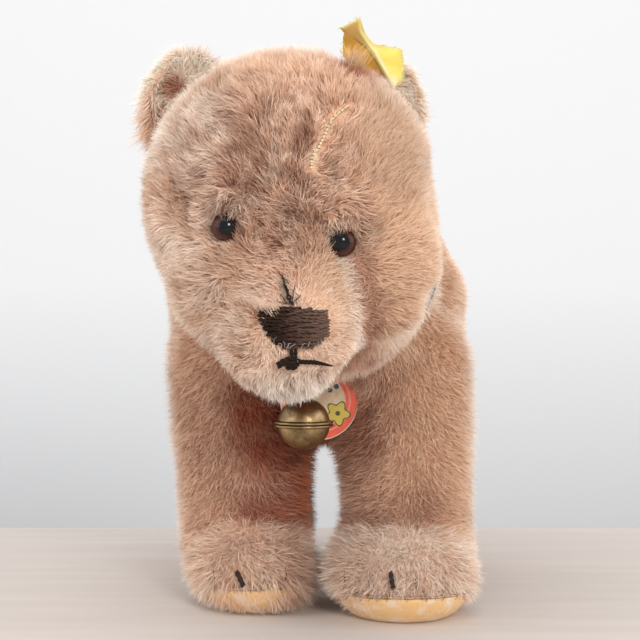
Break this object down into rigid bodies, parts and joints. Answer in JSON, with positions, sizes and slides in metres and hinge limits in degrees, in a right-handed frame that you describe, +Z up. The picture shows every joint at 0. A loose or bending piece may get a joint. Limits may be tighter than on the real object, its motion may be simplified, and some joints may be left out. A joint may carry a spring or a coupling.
{
  "type": "teddy bear",
  "caption": "Worn mohair teddy bear standing on all fours, with glass eyes, felt soles, a neck cord with a jingle bell, and tags at chest and ear.",
  "frame": {"origin": "under the middle of the bear's box, on the surface that it stands on", "axes": "+Z up, -Y the way the nose points, +X the bear's left side"},
  "size_m": [0.0912, 0.1992, 0.1573],
  "materials": {
    "mohair": "worn mohair plush",
    "felt": "worn wool felt",
    "thread": "dark embroidery thread",
    "seam": "sewing thread",
    "glass": "amber glass with a painted back",
    "steel": "bare wire",
    "cord": "twisted cord",
    "brass": "dull, darkened brass",
    "card": "printed card",
    "ribbon": "woven cotton, faded"
  },
  "bodies": {
    "bear": {"body": "mohair", "chest_tag": "card", "claw_front_left_1": "thread", "claw_front_left_2": "thread", "claw_front_left_3": "thread", "claw_front_left_4": "thread", "claw_front_right_1": "thread", "claw_front_right_2": "thread", "claw_front_right_3": "thread", "claw_front_right_4": "thread", "claw_hind_left_1": "thread", "claw_hind_left_2": "thread", "claw_hind_left_3": "thread", "claw_hind_left_4": "thread", "claw_hind_right_1": "thread", "claw_hind_right_2": "thread", "claw_hind_right_3": "thread", "claw_hind_right_4": "thread", "cord_knot": "cord", "ear_left": "mohair", "ear_right": "mohair", "ear_tag": "ribbon", "ear_tag_stitch": "seam", "eye_left": "glass", "eye_right": "glass", "eye_shank_left": "steel", "eye_shank_right": "steel", "head": "mohair", "mouth": "thread", "neck_cord": "cord", "nose": "thread", "paw_pad_front_left": "felt", "paw_pad_front_right": "felt", "paw_pad_hind_left": "felt", "paw_pad_hind_right": "felt", "seam_thread": "seam", "tag_thread": "ribbon"},
    "ring": {"bell_ring": "brass"},
    "bell": {"bell_loop": "brass", "bell_upper": "brass", "bell_lower": "brass", "bell_pellet": "steel"}
  },
  "joints": [
    {"name": "ring_swing", "type": "hinge", "parent": "bear", "child": "ring", "pos_m": [-0.00251, -0.02278, 0.06678], "axis": [-1, 0, 0], "range_deg": [-20, 40]},
    {"name": "bell_swing", "type": "hinge", "parent": "ring", "child": "bell", "pos_m": [-0.00251, -0.02278, 0.06283], "axis": [0, 1, 0], "range_deg": [-45, 45]}
  ]
}
